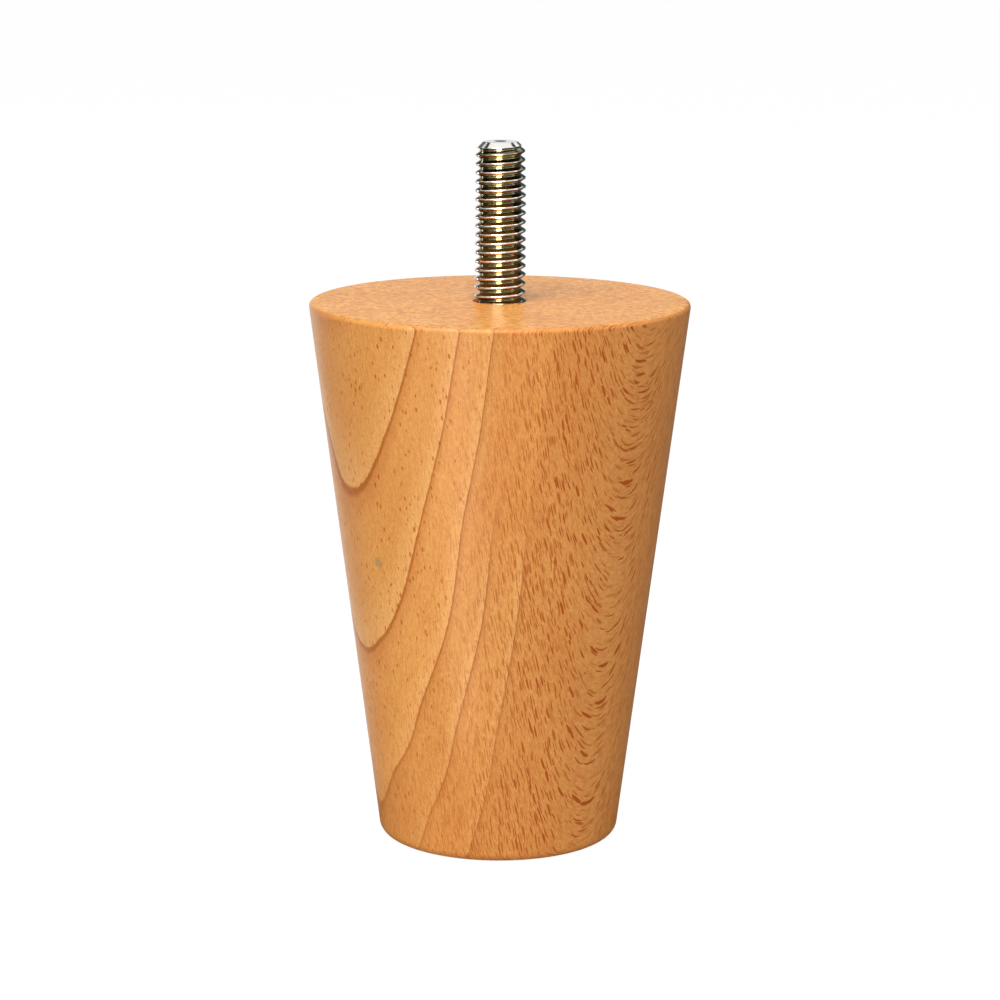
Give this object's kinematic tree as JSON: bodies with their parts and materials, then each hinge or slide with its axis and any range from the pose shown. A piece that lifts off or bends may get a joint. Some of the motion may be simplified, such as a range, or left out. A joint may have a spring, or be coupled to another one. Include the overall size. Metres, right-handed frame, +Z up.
{
  "type": "wooden furniture leg",
  "caption": "Short round tapered furniture leg turned from pale lacquered hardwood, wider at the top, with a threaded steel stud standing up from the middle of its top face.",
  "frame": {"origin": "centre of the leg's foot, on the surface that it stands on", "axes": "+Z up the leg's axis, from the foot to the tip of the stud; the leg is round, so X and Y have no features"},
  "size_m": [0.0688, 0.0688, 0.1277],
  "materials": {
    "lacquered_beech": "turned smooth, clear satin lacquer",
    "zinc_plated_steel": "rolled thread, bright zinc plate"
  },
  "bodies": {
    "root": {"leg_body": "lacquered_beech", "threaded_stud": "zinc_plated_steel"}
  },
  "joints": []
}
